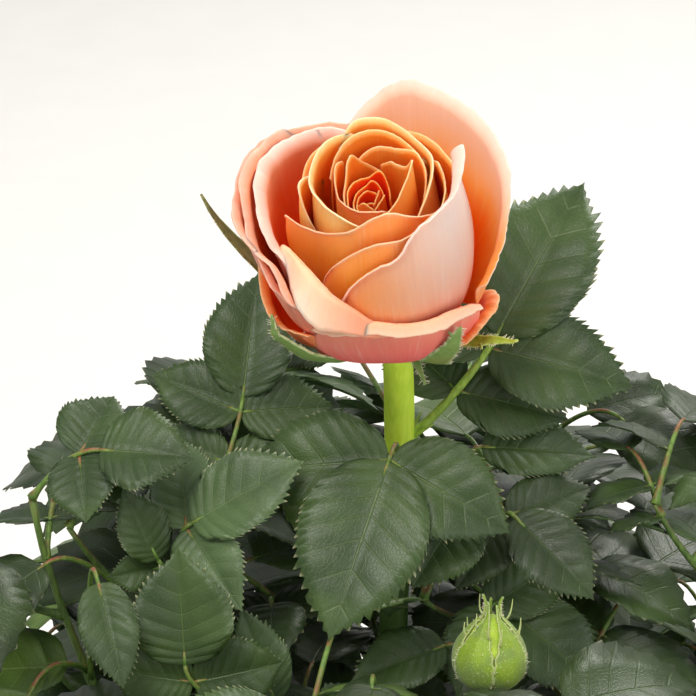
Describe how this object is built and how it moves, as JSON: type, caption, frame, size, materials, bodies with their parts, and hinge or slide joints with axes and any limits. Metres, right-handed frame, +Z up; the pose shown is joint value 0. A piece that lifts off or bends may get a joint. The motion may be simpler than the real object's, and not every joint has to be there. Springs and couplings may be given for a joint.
{
  "type": "rose bush",
  "caption": "Small rooted rose bush: woody base, spreading green canes with compound leaves, an open peach-coral bloom on a tall stem and a green bud.",
  "frame": {"origin": "centre of the flat cut under the woody base, at ground level", "axes": "+Z up from the ground; -Y is the side the bloom leans to and is seen from; +X to the right seen from there"},
  "size_m": [0.3555, 0.3538, 0.4661],
  "materials": {
    "bark": "rough, fissured, grey-brown",
    "cane": "smooth green-brown bark, satin",
    "stem": "smooth young green stem, satin",
    "foliage": "dark green leaves with a grey sheen",
    "petal": "soft peach to coral petals, velvety",
    "sepal": "downy pale green",
    "bud": "bright yellow-green, downy"
  },
  "bodies": {
    "root": {"crown_base": "bark", "cane_back_left": "cane", "cane_back_right": "cane", "cane_flower": "cane", "cane_front_left": "cane", "cane_front_right": "cane", "cane_left": "cane", "cane_right": "cane", "flower_stem": "stem", "bloom_calyx": "sepal", "bloom": "petal", "bud": "bud", "leaf_back": "foliage", "leaf_front": "foliage", "leaf_right": "foliage", "shoot_back": "foliage", "shoot_back_left": "foliage", "shoot_back_left_low": "foliage", "shoot_back_left_mid": "foliage", "shoot_back_right": "foliage", "shoot_back_right_low": "foliage", "shoot_back_right_mid": "foliage", "shoot_bud": "foliage", "shoot_far_left": "foliage", "shoot_far_right": "foliage", "shoot_front_left": "foliage", "shoot_front_left_low": "foliage", "shoot_front_left_mid": "foliage", "shoot_front_right_low": "foliage", "shoot_front_right_mid": "foliage", "shoot_left": "foliage", "shoot_left_low": "foliage", "shoot_left_mid": "foliage", "shoot_right": "foliage", "shoot_right_low": "foliage", "shoot_right_mid": "foliage"}
  },
  "joints": []
}
